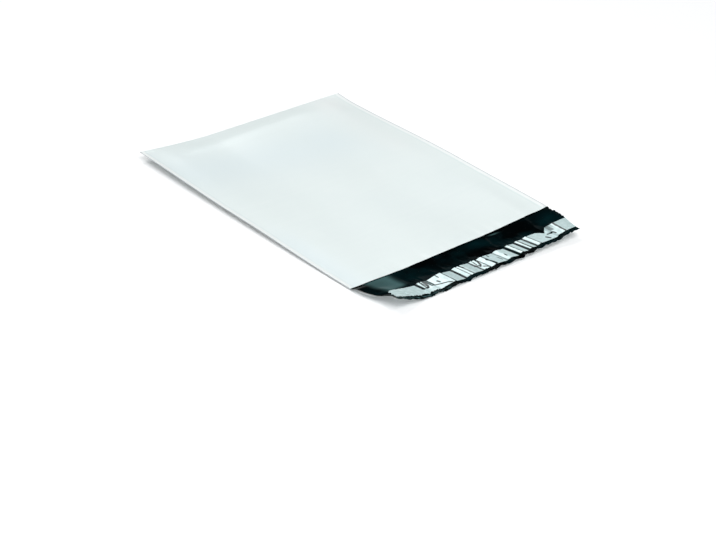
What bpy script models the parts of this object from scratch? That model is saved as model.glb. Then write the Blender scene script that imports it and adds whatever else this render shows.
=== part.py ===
"""Poly mailer bag: an empty film bag lying flat, its flap open and its adhesive still covered.

One sheet of film, white outside and black inside, is folded across the bottom and welded down both
sides. Its rear panel runs on past the mouth as the flap, which carries a band of adhesive under a
peel-off liner. The adhesive draws the flap into pleats. X runs across the bag, Y from the flap to
the fold, and Z up. The bag lies on Z = 0, with the middle of its bounding box on the Z axis.
"""

import math

import bmesh
import bpy
from mathutils import Vector

# The flat bag
POCKET_WIDTH = 0.229
POCKET_LENGTH = 0.305
FLAP_LENGTH = 0.050
FILM_THICKNESS = 0.00006
SEAM_WIDTH = 0.006

# Adhesive and liner on the flap
LINER_WIDTH = 0.017
LINER_THICKNESS = 0.00005
LINER_FROM_FLAP_EDGE = 0.005
LINER_INSETS = (0.0065, 0.0006)
ADHESIVE_WIDTH = 0.012
ADHESIVE_THICKNESS = 0.0001
ADHESIVE_INSETS = (0.0140, 0.0025)
PIECE_GAP = 0.0003

# How the empty pocket lies: the space between its panels
FOLD_RADIUS = 0.00025
FOLD_PINCH_LENGTH = 0.004
POCKET_GAP = 0.0005
POCKET_BLOOM = 0.020
MOUTH_GAP = 0.0013
MOUTH_GAP_PLACE = 0.035
MOUTH_GAP_SPREAD = 0.095
MOUTH_GAP_REACH = 0.060
FOLD_SPRING = 0.0008
FOLD_SPRING_FROM_FOLD = 0.022
FOLD_SPRING_REACH = 0.030

# How the flap lies
FLAP_RISE = 0.0011
FLAP_RISE_LENGTH = 0.040
FLAP_DROOP = 0.0011
FLAP_DROOP_START = 0.022
FLAP_DROOP_PLACE = -0.045
FLAP_DROOP_SPREAD = 0.060
LEFT_DROOP = 0.0016
LEFT_DROOP_START = 0.036
LEFT_DROOP_PLACES = (-0.1090, -0.0970, -0.0860, -0.0700)
MOUTH_DRAW = 0.0055
FLAP_DRAW = 0.0140
ROLL_DEPTH = 0.0034
ROLL_FROM_EDGE = 0.0175
ROLL_FROM_MOUTH = 0.024
ROLL_REACH = 0.020

# The pleats: depth under the liner, and how they start in the pocket and spread outward
PLEAT_DEPTH = 0.0026
PLEAT_SHARE_AT_MOUTH = 0.12
PLEAT_REACH_IN_POCKET = 0.030
PLEAT_START = 0.004
PLEAT_RUN = 0.024
FAN_SLOPES = (0.05, 0.30)
FAN_SPAN = (-0.61, 0.52)
FAN_EDGE_POWER = 6

# Rows of points: distances from the mouth, from the fold and over the fold
MOUTH_ROWS = (0.0, 0.008, 0.025, 0.055)
MIDDLE_ROWS = 4
FOLD_ROWS = (0.045, 0.020)
FOLD_SEGMENTS = 4
FLAP_ROW_PITCH = 0.005
BAND_ROWS = 3

MERGE_DISTANCE = 1e-6

# How the edges curl up from the floor: along each side, knots of distance from the mouth, lift
# and how far that lift reaches into the bag; along the fold, one lift between the corners
FOLD_LIFT = 0.0018
FOLD_LIFT_REACH = 0.090
CURL_SHARPNESS = 1.4
LEFT_EDGE = (
    (POCKET_LENGTH, 0.0076, 0.076),
    (0.50 * POCKET_LENGTH, 0.0048, 0.080),
    (0.0, 0.0014, 0.050),
    (-0.20 * FLAP_LENGTH, 0.0046, 0.040),
    (-0.50 * FLAP_LENGTH, 0.0076, 0.042),
    (-FLAP_LENGTH, 0.0106, 0.045),
)
RIGHT_EDGE = (
    (POCKET_LENGTH, 0.0016, 0.040),
    (0.92 * POCKET_LENGTH, 0.0004, 0.060),
    (0.40 * POCKET_LENGTH, 0.0044, 0.080),
    (0.0, 0.0058, 0.085),
    (-0.35 * FLAP_LENGTH, 0.0066, 0.085),
    (-FLAP_LENGTH, 0.0058, 0.085),
)

# Creases across the flap: places in half widths from the middle, and heights in pleat depths
PLEAT_LINES = (
    (-1.000, 0.00), (-0.926, 0.15), (-0.891, 0.23), (-0.856, 0.31), (-0.803, 0.29), (-0.755, 0.27),
    (-0.681, 0.17), (-0.615, 0.00), (-0.606, 0.35), (-0.571, 0.46), (-0.566, 0.27), (-0.559, 0.35),
    (-0.538, 0.46), (-0.529, 0.04), (-0.521, 0.19), (-0.498, 0.00), (-0.484, 0.08), (-0.410, 0.69),
    (-0.355, 0.96), (-0.344, 0.65), (-0.250, 0.12), (-0.239, 0.38), (-0.199, 0.73), (-0.192, 0.54),
    (-0.169, 0.69), (-0.161, 0.54), (-0.150, 0.69), (-0.065, 0.23), (-0.058, 0.38), (-0.031, 0.58),
    (-0.024, 0.35), (-0.009, 0.50), (0.005, 0.54), (0.016, 0.15), (0.023, 0.31), (0.070, 0.77),
    (0.080, 0.69), (0.192, 0.27), (0.199, 0.46), (0.232, 0.81), (0.320, 0.19), (0.330, 0.77),
    (0.358, 1.00), (0.365, 0.81), (0.421, 0.42), (0.431, 0.73), (0.461, 1.00), (0.471, 0.73),
    (0.510, 0.46), (0.519, 0.65), (0.555, 0.96), (0.564, 0.77), (0.655, 0.35), (0.751, 0.08),
    (0.763, 0.62), (0.832, 0.73), (0.856, 0.96), (0.866, 0.73), (0.917, 0.65), (1.000, 0.35),
)

LINER_START = FLAP_LENGTH - LINER_FROM_FLAP_EDGE - LINER_WIDTH
HALF_WIDTH = POCKET_WIDTH / 2
HALF_POCKET = HALF_WIDTH - SEAM_WIDTH
INSIDE, OUTSIDE = 0, 1


def smooth(value):
    """Eases from 0 to 1 as the value goes from 0 to 1."""
    value = min(max(value, 0.0), 1.0)
    return value * value * (3 - 2 * value)


def make_material(name, colour, roughness):
    material = bpy.data.materials.new(name)
    material.use_nodes = True
    shader = material.node_tree.nodes["Principled BSDF"]
    shader.inputs["Base Color"].default_value = (*colour, 1.0)
    shader.inputs["Roughness"].default_value = roughness
    shader.inputs["Metallic"].default_value = 0.0
    material.diffuse_color = (*colour, 1.0)
    return material


def pleat_height(place):
    """Height of the pleats at a place across the flap, which folds flat between its creases."""
    share = place / HALF_WIDTH
    for (start, low), (end, high) in zip(PLEAT_LINES, PLEAT_LINES[1:]):
        if share <= end:
            return PLEAT_DEPTH * (low + (high - low) * (share - start) / (end - start))
    return PLEAT_DEPTH * PLEAT_LINES[-1][1]


def pleat_share(along):
    """How much of the pleats is there: they die out into the pocket and are full at the liner."""
    if along >= 0:
        return PLEAT_SHARE_AT_MOUTH * smooth(1 - along / PLEAT_REACH_IN_POCKET)
    return PLEAT_SHARE_AT_MOUTH + (1 - PLEAT_SHARE_AT_MOUTH) * smooth((-along - PLEAT_START) / PLEAT_RUN)


def fan_out(place, along):
    """Where a crease that starts at a place lies across the flap, as the creases spread outward."""
    span = (place / HALF_WIDTH - FAN_SPAN[0]) / (FAN_SPAN[1] - FAN_SPAN[0])
    slope = FAN_SLOPES[0] + (FAN_SLOPES[1] - FAN_SLOPES[0]) * min(max(span, 0.0), 1.0)
    slope *= 1 - (place / HALF_WIDTH) ** FAN_EDGE_POWER
    return place + slope * (-along - LINER_START) * smooth(-along / LINER_START)


def drawn_in(along):
    """How far each side edge is drawn in, towards the flap's pleats."""
    if along >= 0:
        return MOUTH_DRAW * (1 - along / POCKET_LENGTH) ** 2
    return MOUTH_DRAW + (FLAP_DRAW - MOUTH_DRAW) * smooth(-along / FLAP_LENGTH)


def edge_curl(edge, along):
    """Lift and reach of a side edge's curl at a distance from the mouth."""
    for (far, *there), (near, *here) in zip(edge, edge[1:]):
        if along >= near:
            share = smooth((far - along) / (far - near))
            return [a + (b - a) * share for a, b in zip(there, here)]
    return edge[-1][1:]


def fade(distance, reach):
    """How much of an edge's lift is left at a distance from that edge."""
    return max(0.0, 1 - distance / reach) ** CURL_SHARPNESS


def curl_height(across, along):
    """Height that the curled edges give the film, counting the fold's own lift once."""
    at_fold = FOLD_LIFT * fade(POCKET_LENGTH - along, FOLD_LIFT_REACH)
    total = at_fold
    for side, edge in ((-1, LEFT_EDGE), (1, RIGHT_EDGE)):
        lift, reach = edge_curl(edge, along)
        total += (lift - at_fold) * fade(HALF_WIDTH - side * across, reach)
    return max(total, 0.0)


def flap_height(across, along):
    """The flap stands off the floor a little way out, and droops again at places of its edge."""
    rise = FLAP_RISE * smooth(-along / FLAP_RISE_LENGTH)
    outward = smooth((-along - FLAP_DROOP_START) / (FLAP_LENGTH - FLAP_DROOP_START))
    sideways = smooth(1 - abs(across - FLAP_DROOP_PLACE) / FLAP_DROOP_SPREAD)
    rim = max((-along - LEFT_DROOP_START) / (FLAP_LENGTH - LEFT_DROOP_START), 0.0) ** 2
    first, full, last_full, end = LEFT_DROOP_PLACES
    inside = smooth((across - first) / (full - first)) * smooth((end - across) / (end - last_full))
    return rise - FLAP_DROOP * outward * sideways - LEFT_DROOP * rim * inside


def left_roll(across, along):
    """How far the flap's left edge rolls back down beside the mouth end of the liner."""
    outward = smooth((ROLL_FROM_EDGE - HALF_WIDTH - across) / ROLL_FROM_EDGE)
    return ROLL_DEPTH * outward * smooth(1 - abs(along + ROLL_FROM_MOUTH) / ROLL_REACH)


def film_point(place, along, above=0.0):
    """A point of the rear panel or flap, or above it, from its place in the flat bag."""
    across = fan_out(place, along)
    lift = flap_height(across, along) + pleat_share(along) * pleat_height(place)
    lift += curl_height(across, along) - left_roll(across, along)
    height = FILM_THICKNESS + lift + above
    return Vector((across * (1 - drawn_in(along) / HALF_WIDTH), along, height))


def panel_gap(across, along):
    """Space between the inner faces of the two panels: none in a seam, a little in the pocket."""
    from_fold = POCKET_LENGTH - along
    mouth = MOUTH_GAP * smooth(1 - abs(across - MOUTH_GAP_PLACE) / MOUTH_GAP_SPREAD)
    mouth *= smooth(1 - along / MOUTH_GAP_REACH)
    spring = FOLD_SPRING * smooth(1 - abs(from_fold - FOLD_SPRING_FROM_FOLD) / FOLD_SPRING_REACH)
    pocket = (POCKET_GAP + mouth + spring) * smooth((HALF_POCKET - abs(across)) / POCKET_BLOOM)
    pinch = smooth(1 - from_fold / FOLD_PINCH_LENGTH)
    return pocket * (1 - pinch) + 2 * FOLD_RADIUS * pinch


def fold_point(across, angle):
    """A point of the bottom fold, whose angle is 0 at the front panel and pi at the rear one."""
    bottom = film_point(across, POCKET_LENGTH)
    outward = FOLD_RADIUS * math.sin(angle)
    upward = FOLD_RADIUS * (1 + math.cos(angle))
    return bottom + Vector((0, outward, upward))


def across_places(insets=(0.0, 0.0)):
    """Places across the flat bag: its ends, and the seam lines and creases between them."""
    left, right = insets[0] - HALF_WIDTH, HALF_WIDTH - insets[1]
    lines = [share * HALF_WIDTH for share, _ in PLEAT_LINES] + [-HALF_POCKET, HALF_POCKET]
    return [left, *sorted(line for line in lines if left < line < right), right]


def panel_rows():
    """Distances from the mouth to each row of a panel, which both panels share."""
    start, end = MOUTH_ROWS[-1], POCKET_LENGTH - FOLD_ROWS[0]
    middle = [start + (end - start) * step / MIDDLE_ROWS for step in range(1, MIDDLE_ROWS)]
    near_fold = [POCKET_LENGTH - distance for distance in (*FOLD_ROWS, FOLD_PINCH_LENGTH, 0.0)]
    return [*MOUTH_ROWS, *middle, *near_fold]


def even_steps(start, end, count):
    return [start + (end - start) * step / count for step in range(count + 1)]


def shaped_grid(rows, places):
    """A grid whose points are moved to rows[j](places[i]), j along the bag and i across it."""
    bm = bmesh.new()
    bmesh.ops.create_grid(bm, x_segments=len(places) - 1, y_segments=len(rows) - 1, size=1.0)
    cells = {}
    for vert in bm.verts:
        column = round((vert.co.x + 1) / 2 * (len(places) - 1))
        row = round((vert.co.y + 1) / 2 * (len(rows) - 1))
        cells[vert] = (column, row)
    for vert, (column, row) in cells.items():
        vert.co = rows[row](places[column])
    return bm, cells


def add_object(name, mesh, collection, materials):
    for material in materials:
        mesh.materials.append(material)
    part = bpy.data.objects.new(name, mesh)
    collection.objects.link(part)
    return part


def apply_modifiers(part):
    """Gives the object the mesh that its modifiers make, and removes them."""
    bpy.context.view_layer.update()
    evaluated = part.evaluated_get(bpy.context.evaluated_depsgraph_get())
    mesh = bpy.data.meshes.new_from_object(evaluated)
    part.modifiers.clear()
    part.data = mesh
    return mesh


def thicken(part, thickness):
    """Grows the surface away from its face normals, so the surface itself stays in place."""
    solidify = part.modifiers.new("thickness", "SOLIDIFY")
    solidify.thickness = thickness
    solidify.offset = -1.0
    solidify.use_even_offset = True
    solidify.use_quality_normals = True
    return solidify


def make_bag_film(collection, white, black):
    """The whole blank: front panel from the mouth, bottom fold, rear panel and flap."""
    rows = []
    for along in panel_rows():
        rows.append(lambda across, along=along: film_point(across, along, panel_gap(across, along)))
    for step in range(1, FOLD_SEGMENTS):
        angle = math.pi * step / FOLD_SEGMENTS
        rows.append(lambda across, angle=angle: fold_point(across, angle))
    for along in reversed(panel_rows()):
        rows.append(lambda across, along=along: film_point(across, along))
    mouth_row = len(rows) - 1
    flap_rows = round(FLAP_LENGTH / FLAP_ROW_PITCH)
    for along in even_steps(0.0, -FLAP_LENGTH, flap_rows)[1:]:
        rows.append(lambda across, along=along: film_point(across, along))

    places = across_places()
    bm, cells = shaped_grid(rows, places)
    seam = bm.faces.layers.int.new("seam")
    for face in bm.faces:
        columns = [cells[vert][0] for vert in face.verts]
        in_pocket = max(cells[vert][1] for vert in face.verts) <= mouth_row
        at_side = max(columns) == 1 or min(columns) == len(places) - 2
        face[seam] = int(in_pocket and at_side)
    bmesh.ops.reverse_faces(bm, faces=bm.faces)
    mesh = bpy.data.meshes.new("bag_film")
    bm.to_mesh(mesh)
    bm.free()
    part = add_object("bag_film", mesh, collection, (black, white))
    solidify = thicken(part, FILM_THICKNESS)
    solidify.material_offset = OUTSIDE
    solidify.material_offset_rim = OUTSIDE
    weld_seams(apply_modifiers(part))
    return part


def weld_seams(mesh):
    """Joins the two panels down the sides, where their inner faces lie on each other."""
    bm = bmesh.new()
    bm.from_mesh(mesh)
    seam = bm.faces.layers.int["seam"]
    buried = [face for face in bm.faces if face[seam] and face.material_index == INSIDE]
    bmesh.ops.delete(bm, geom=buried, context="FACES")
    bmesh.ops.remove_doubles(bm, verts=bm.verts, dist=MERGE_DISTANCE)
    open_edges = [edge for edge in bm.edges if edge.is_boundary]
    bmesh.ops.holes_fill(bm, edges=open_edges, sides=0)
    bmesh.ops.recalc_face_normals(bm, faces=bm.faces)
    bm.to_mesh(mesh)
    bm.free()


def make_band(name, collection, material, from_mouth, width, above, thickness, insets):
    """A strip right across the flap, at its own height above the film."""
    rows = []
    for along in even_steps(-from_mouth, -from_mouth - width, BAND_ROWS):
        rows.append(lambda across, along=along: film_point(across, along, above))
    bm, _ = shaped_grid(rows, across_places(insets))
    mesh = bpy.data.meshes.new(name)
    bm.to_mesh(mesh)
    bm.free()
    part = add_object(name, mesh, collection, (material,))
    thicken(part, thickness)
    return part


def stand_on_origin(parts):
    """Moves the parts so that the middle of their bounding box's underside is the origin."""
    bpy.context.view_layer.update()
    depsgraph = bpy.context.evaluated_depsgraph_get()
    points = []
    for part in parts:
        shape = part.evaluated_get(depsgraph)
        points += [shape.matrix_world @ vert.co for vert in shape.data.vertices]
    low = Vector([min(point[axis] for point in points) for axis in range(3)])
    high = Vector([max(point[axis] for point in points) for axis in range(3)])
    middle = (low + high) / 2
    for part in parts:
        part.location = (-middle.x, -middle.y, -low.z)


def main():
    for old in list(bpy.data.objects):
        bpy.data.objects.remove(old)
    collection = bpy.data.collections.new("poly_mailer_bag")
    bpy.context.scene.collection.children.link(collection)
    white = make_material("white_film", (0.80, 0.84, 0.85), 0.35)
    black = make_material("black_film", (0.008, 0.010, 0.011), 0.22)
    adhesive = make_material("hot_melt", (0.62, 0.58, 0.44), 0.45)
    liner = make_material("liner_film", (0.70, 0.74, 0.75), 0.25)

    adhesive_start = LINER_START + (LINER_WIDTH - ADHESIVE_WIDTH) / 2
    adhesive_top = PIECE_GAP + ADHESIVE_THICKNESS
    liner_top = adhesive_top + PIECE_GAP + LINER_THICKNESS
    parts = [
        make_bag_film(collection, white, black),
        make_band(
            "adhesive_strip", collection, adhesive, adhesive_start, ADHESIVE_WIDTH,
            adhesive_top, ADHESIVE_THICKNESS, ADHESIVE_INSETS,
        ),
        make_band(
            "release_liner", collection, liner, LINER_START, LINER_WIDTH,
            liner_top, LINER_THICKNESS, LINER_INSETS,
        ),
    ]
    for part in parts:
        part.data.shade_smooth()
        part.data.set_sharp_from_angle(angle=math.radians(40))
    stand_on_origin(parts)


main()
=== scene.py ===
import math
import random

import bmesh
import bpy
import numpy as np
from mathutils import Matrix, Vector


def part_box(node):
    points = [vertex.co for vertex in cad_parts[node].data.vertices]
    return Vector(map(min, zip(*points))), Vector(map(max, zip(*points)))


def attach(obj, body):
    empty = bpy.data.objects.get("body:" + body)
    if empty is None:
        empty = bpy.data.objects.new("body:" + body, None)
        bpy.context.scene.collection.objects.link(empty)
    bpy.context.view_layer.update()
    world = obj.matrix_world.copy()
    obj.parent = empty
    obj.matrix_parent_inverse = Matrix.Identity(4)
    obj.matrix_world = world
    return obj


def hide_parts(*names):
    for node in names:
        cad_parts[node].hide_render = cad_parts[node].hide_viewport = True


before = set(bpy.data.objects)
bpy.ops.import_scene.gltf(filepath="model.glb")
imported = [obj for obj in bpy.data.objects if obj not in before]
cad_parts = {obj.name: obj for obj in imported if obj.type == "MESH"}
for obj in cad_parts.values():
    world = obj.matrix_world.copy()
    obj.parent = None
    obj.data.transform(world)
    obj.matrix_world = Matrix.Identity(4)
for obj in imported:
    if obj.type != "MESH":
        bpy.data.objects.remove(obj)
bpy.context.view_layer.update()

filmLow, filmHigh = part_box("bag_film")
print("frame loaded, bag", [round(high - low, 4) for low, high in zip(filmLow, filmHigh)])


# how the bag lies, in metres: across is from the middle, along from the mouth, below 0 on the flap
bagShape = {
    "pocketWidth": filmHigh.x - filmLow.x,
    "flapLength": 0.050,
    "filmThickness": 0.00006,
    "seamWidth": 0.006,
    "foldRadius": 0.00025,
    "foldPinchLength": 0.004,
    "pocketGap": 0.0005,
    "pocketBloom": 0.020,
    "mouthGap": 0.0013,
    "mouthGapPlace": 0.035,
    "mouthGapSpread": 0.095,
    "mouthGapReach": 0.060,
    "foldSpring": 0.0008,
    "foldSpringFromFold": 0.022,
    "foldSpringReach": 0.030,
    "foldWave": 0.0010,
    "foldWaveFromFold": (0.0240, 0.0200, 0.0145),
    "foldWaveReaches": (0.020, 0.009),
    "foldWaveSpan": (-0.005, 0.085, 0.030),
    "slackWaves": (0.00012, 0.110, 0.045),
    "flapRise": 0.0011,
    "flapRiseLength": 0.040,
    "flapDroop": 0.0011,
    "flapDroopStart": 0.022,
    "flapDroopPlace": -0.045,
    "flapDroopSpread": 0.060,
    "leftRollDepth": 0.0034,
    "leftRollPlace": (-0.097, -0.024),
    "leftRollSpread": (0.0175, 0.020),
    "leftDroop": 0.0016,
    "leftDroopStart": 0.036,
    "leftDroopPlaces": (-0.1090, -0.0970, -0.0860, -0.0700),
    "mouthDraw": 0.0055,
    "flapDraw": 0.0140,
    "foldLift": 0.0018,
    "foldLiftReach": 0.090,
    "curlSharpness": 1.4,
}
bagShape["pocketLength"] = (
    filmHigh.y - filmLow.y - bagShape["flapLength"] - bagShape["foldRadius"] - bagShape["filmThickness"]
)
mouthY = filmLow.y + bagShape["flapLength"]
linerStart = 0.028
halfWidth = bagShape["pocketWidth"] / 2
halfPocket = halfWidth - bagShape["seamWidth"]

# knots down each side edge: share of the pocket or flap, lift, and how far the lift reaches inward
edgeCurls = {
    "left": (
        (1.0, 0.0076, 0.076),
        (0.50, 0.0048, 0.080),
        (0.0, 0.0014, 0.050),
        (-0.20, 0.0046, 0.040),
        (-0.50, 0.0076, 0.042),
        (-1.0, 0.0106, 0.045),
    ),
    "right": (
        (1.0, 0.0016, 0.040),
        (0.92, 0.0004, 0.060),
        (0.40, 0.0044, 0.080),
        (0.0, 0.0058, 0.085),
        (-0.35, 0.0066, 0.085),
        (-1.0, 0.0058, 0.085),
    ),
}

# creases across the flap: places in half widths from the middle, and heights in pleat depths
pleatLines = (
    (-1.000, 0.00), (-0.926, 0.15), (-0.891, 0.23), (-0.856, 0.31), (-0.803, 0.29), (-0.755, 0.27),
    (-0.681, 0.17), (-0.615, 0.00), (-0.606, 0.35), (-0.571, 0.46), (-0.566, 0.27), (-0.559, 0.35),
    (-0.538, 0.46), (-0.529, 0.04), (-0.521, 0.19), (-0.498, 0.00), (-0.484, 0.08), (-0.410, 0.69),
    (-0.355, 0.96), (-0.344, 0.65), (-0.250, 0.12), (-0.239, 0.38), (-0.199, 0.73), (-0.192, 0.54),
    (-0.169, 0.69), (-0.161, 0.54), (-0.150, 0.69), (-0.065, 0.23), (-0.058, 0.38), (-0.031, 0.58),
    (-0.024, 0.35), (-0.009, 0.50), (0.005, 0.54), (0.016, 0.15), (0.023, 0.31), (0.070, 0.77),
    (0.080, 0.69), (0.192, 0.27), (0.199, 0.46), (0.232, 0.81), (0.320, 0.19), (0.330, 0.77),
    (0.358, 1.00), (0.365, 0.81), (0.421, 0.42), (0.431, 0.73), (0.461, 1.00), (0.471, 0.73),
    (0.510, 0.46), (0.519, 0.65), (0.555, 0.96), (0.564, 0.77), (0.655, 0.35), (0.751, 0.08),
    (0.763, 0.62), (0.832, 0.73), (0.856, 0.96), (0.866, 0.73), (0.917, 0.65), (1.000, 0.35),
)
pleats = {
    "depth": 0.0026,
    "flatAndSoft": (0.7, 0.3),
    "shareAtMouth": 0.12,
    "reachInPocket": 0.030,
    "start": 0.011,
    "run": 0.017,
    "fanSlopes": (0.05, 0.30),
    "fanSpan": (-0.61, 0.52),
    "fanEdgePower": 6,
}
crumple = {
    "edgeReach": 0.006,
    "edgeDepth": 0.0006,
    "edgeRuns": (0.003, 0.004),
    "edgeWaves": (0.0075, 0.0028, 6),
    "edgeFineWaves": (0.006, 0.003),
    "edgeFineShare": 0.5,
    "edgePullIn": 0.5,
    "rimDepth": 0.0003,
    "rimStart": 0.0455,
    "rimRun": 0.002,
    "rimWaves": (0.008, 0.003),
    "rimWaveMiddle": 0.6,
    "weldDepth": 0.00015,
    "dimples": (
        ((0.049, -0.0055), (0.0070, 0.0020), 0.0006),
        ((0.112, -0.0020), (0.0015, 0.0020), 0.0010),
    ),
}
# seeds of the uneven waves, one for each use
waveSeeds = {
    "slack": 5,
    "edge": 31,
    "edgeFine": 32,
    "rim": 41,
    "linerCrinkle": 51,
    "raggedEdge": 61,
    "rimGlints": 71,
}
# lines down each side, by distance from the cut edge, and the runs over which they fade
seamLines = {
    "cutEdge": 0.0011,
    "cutEdgeRun": 0.0006,
    "pressed": (0.0009, 0.0042),
    "pressedRuns": (0.0005, 0.0008),
    "weld": 0.0049,
    "weldWidth": 0.0007,
    "meshLines": (0.0005, 0.0011, 0.0015, 0.0034, 0.0042, 0.0049, 0.0056, 0.0063),
}
pleatPlaces = np.array([place for place, _ in pleatLines]) * halfWidth
pleatHeights = np.array([height for _, height in pleatLines]) * pleats["depth"]


def smooth(value):
    value = np.clip(value, 0.0, 1.0)
    return value * value * (3 - 2 * value)


def softSpot(place, along, middle, size):  # 1 in its middle, fading outward
    return np.exp(-((place - middle[0]) / size[0]) ** 2 - ((along - middle[1]) / size[1]) ** 2)


def softWaves(x, y, seed, longest, shortest, count=14):  # a sum of plane waves, about -1 to 1
    draw = random.Random(seed)
    total = np.zeros(np.broadcast(x, y).shape)
    for _ in range(count):
        length = math.exp(draw.uniform(math.log(shortest), math.log(longest)))
        angle, phase = draw.uniform(0, math.pi), draw.uniform(0, 2 * math.pi)
        along = x * math.cos(angle) + y * math.sin(angle)
        total = total + np.sin(2 * math.pi * along / length + phase)
    return total / math.sqrt(count)


def pleatHeight(place):  # flat facets with softly turned ridges
    index = np.clip(np.searchsorted(pleatPlaces, place) - 1, 0, len(pleatPlaces) - 2)
    start, end = pleatPlaces[index], pleatPlaces[index + 1]
    share = np.clip((place - start) / (end - start), 0.0, 1.0)
    low, high = pleatHeights[index], pleatHeights[index + 1]
    flat, soft = pleats["flatAndSoft"]
    return low + (high - low) * (flat * share + soft * smooth(share))


def pleatShare(along):
    inPocket = pleats["shareAtMouth"] * smooth(1 - along / pleats["reachInPocket"])
    onFlap = (1 - pleats["shareAtMouth"]) * smooth((-along - pleats["start"]) / pleats["run"])
    return np.where(along >= 0, inPocket, pleats["shareAtMouth"] + onFlap)


def fanOut(place, along):  # the pleats spread towards the flap's outer edge
    least, most = pleats["fanSlopes"]
    start, end = pleats["fanSpan"]
    amount = least + (most - least) * np.clip((place / halfWidth - start) / (end - start), 0.0, 1.0)
    amount = amount * (1 - (place / halfWidth) ** pleats["fanEdgePower"])
    return place + amount * (-along - linerStart) * smooth(-along / linerStart)


def drawnIn(along):
    inPocket = bagShape["mouthDraw"] * (1 - along / bagShape["pocketLength"]) ** 2
    more = bagShape["flapDraw"] - bagShape["mouthDraw"]
    onFlap = bagShape["mouthDraw"] + more * smooth(-along / bagShape["flapLength"])
    return np.where(along >= 0, inPocket, onFlap)


def edgeCurl(side, along):
    knots = edgeCurls[side]
    places = [share * bagShape["pocketLength" if share > 0 else "flapLength"] for share, _, _ in knots]
    lift = np.full(along.shape, knots[-1][1])
    reach = np.full(along.shape, knots[-1][2])
    for index in range(len(knots) - 1):
        far, near = places[index], places[index + 1]
        _, farLift, farReach = knots[index]
        _, nearLift, nearReach = knots[index + 1]
        inside = (along <= far + 1e-6) & (along >= near)
        share = smooth((far - along) / (far - near))
        lift = np.where(inside, farLift + (nearLift - farLift) * share, lift)
        reach = np.where(inside, farReach + (nearReach - farReach) * share, reach)
    return lift, reach


def fade(distance, reach):
    return np.clip(1 - distance / reach, 0.0, 1.0) ** bagShape["curlSharpness"]


def curlHeight(across, along):
    fromFold = np.maximum(bagShape["pocketLength"] - along, 0.0)
    atFold = bagShape["foldLift"] * fade(fromFold, bagShape["foldLiftReach"])
    total = atFold
    for side, sign in (("left", -1), ("right", 1)):
        lift, reach = edgeCurl(side, along)
        total = total + (lift - atFold) * fade(np.maximum(halfWidth - sign * across, 0.0), reach)
    return np.maximum(total, 0.0)


def flapHeight(across, along):
    rise = bagShape["flapRise"] * smooth(-along / bagShape["flapRiseLength"])
    start = bagShape["flapDroopStart"]
    outward = smooth((-along - start) / (bagShape["flapLength"] - start))
    sideways = smooth(1 - np.abs(across - bagShape["flapDroopPlace"]) / bagShape["flapDroopSpread"])
    start = bagShape["leftDroopStart"]
    rim = np.clip((-along - start) / (bagShape["flapLength"] - start), 0.0, 1.0) ** 2
    first, full, lastFull, end = bagShape["leftDroopPlaces"]
    inside = smooth((across - first) / (full - first)) * smooth((end - across) / (end - lastFull))
    return rise - bagShape["flapDroop"] * outward * sideways - bagShape["leftDroop"] * rim * inside


def leftRoll(across, along):  # the flap's left edge rolls over outward
    place, middle = bagShape["leftRollPlace"]
    spread, reach = bagShape["leftRollSpread"]
    inside = smooth((place - across) / spread) * smooth(1 - np.abs(along - middle) / reach)
    return bagShape["leftRollDepth"] * inside


def edgeCrinkle(place, along):  # the flap's right cut edge is crumpled between the mouth and the liner
    nearEdge = smooth((place - halfWidth + crumple["edgeReach"]) / crumple["edgeReach"])
    mouthRun, linerRun = crumple["edgeRuns"]
    onFlap = smooth(-along / mouthRun) * smooth((along + linerStart) / linerRun)
    coarse = softWaves(np.zeros(place.shape), along, waveSeeds["edge"], *crumple["edgeWaves"])
    fine = softWaves(place, along, waveSeeds["edgeFine"], *crumple["edgeFineWaves"])
    return crumple["edgeDepth"] * nearEdge * onFlap * (coarse + crumple["edgeFineShare"] * fine)


def rimCrinkle(place, along):  # small puckers between the liner and the cut edge
    onRim = smooth((-along - crumple["rimStart"]) / crumple["rimRun"])
    puckers = crumple["rimWaveMiddle"] + softWaves(place, along, waveSeeds["rim"], *crumple["rimWaves"])
    return crumple["rimDepth"] * onRim * puckers


def weldLine(place):  # 1 on the line beside each side weld, 0 away from it
    return np.exp(-((halfWidth - np.abs(place) - seamLines["weld"]) / seamLines["weldWidth"]) ** 2)


def pressedStrip(place):  # 1 on the pressed film between the weld and the cut edge
    fromEdge = halfWidth - np.abs(place)
    outer, inner = seamLines["pressed"]
    outerRun, innerRun = seamLines["pressedRuns"]
    return smooth((fromEdge - outer) / outerRun) * smooth((inner - fromEdge) / innerRun)


def cutEdge(place):  # 1 at the very edge
    return smooth((seamLines["cutEdge"] - halfWidth + np.abs(place)) / seamLines["cutEdgeRun"])


def mouthDimple(place, along):
    total = np.zeros(place.shape)
    for middle, size, height in crumple["dimples"]:
        total = total + height * softSpot(place, along, middle, size)
    return total


def filmPoints(place, along, above=0.0):
    place, along = np.broadcast_arrays(np.asarray(place, float), np.asarray(along, float))
    across = fanOut(place, along)
    lift = flapHeight(across, along) + pleatShare(along) * pleatHeight(place)
    lift = lift + curlHeight(across, along) - leftRoll(across, along)
    crinkle = edgeCrinkle(place, along)
    lift = lift + crinkle + rimCrinkle(place, along) + mouthDimple(place, along)
    lift = lift - crumple["weldDepth"] * weldLine(place) * (along > 0)
    height = np.maximum(lift, 0.0) + bagShape["filmThickness"] + above
    x = across * (1 - drawnIn(along) / halfWidth) - crumple["edgePullIn"] * np.abs(crinkle)
    return np.stack([x, along + mouthY, height], axis=-1)


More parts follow.
